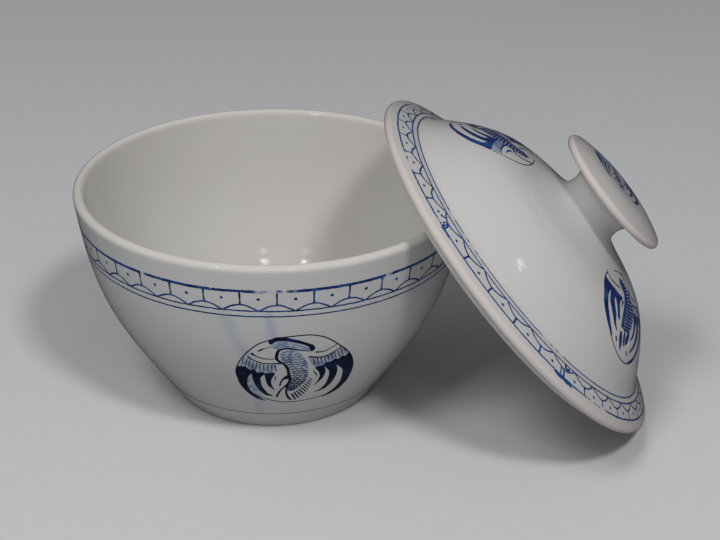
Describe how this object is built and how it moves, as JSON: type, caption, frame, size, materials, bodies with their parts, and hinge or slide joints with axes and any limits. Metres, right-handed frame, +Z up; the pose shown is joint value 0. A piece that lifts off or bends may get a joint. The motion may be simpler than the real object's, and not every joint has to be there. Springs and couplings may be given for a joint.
{
  "type": "donburi bowl with lid",
  "caption": "Glazed donburi bowl on a turned foot with its flanged, knobbed lid leaning on the rim; blue printed border and crane roundels on off-white glaze.",
  "frame": {"origin": "centre of the bowl's foot, on the table", "axes": "+Z up along the bowl's axis, +X towards the leaning lid, +Y away from the camera of the picture"},
  "size_m": [0.2201, 0.166, 0.1162],
  "materials": {
    "glaze_bowl": "gloss",
    "glaze_lid": "gloss",
    "glaze_knob": "gloss"
  },
  "bodies": {
    "bowl_body": {"bowl": "glaze_bowl"},
    "lid_body": {"lid": "glaze_lid", "knob": "glaze_knob"}
  },
  "joints": [
    {"name": "lid_lift", "type": "slide", "parent": "bowl_body", "child": "lid_body", "axis": [0, 0, 1], "range_m": [0, 0.12]}
  ]
}
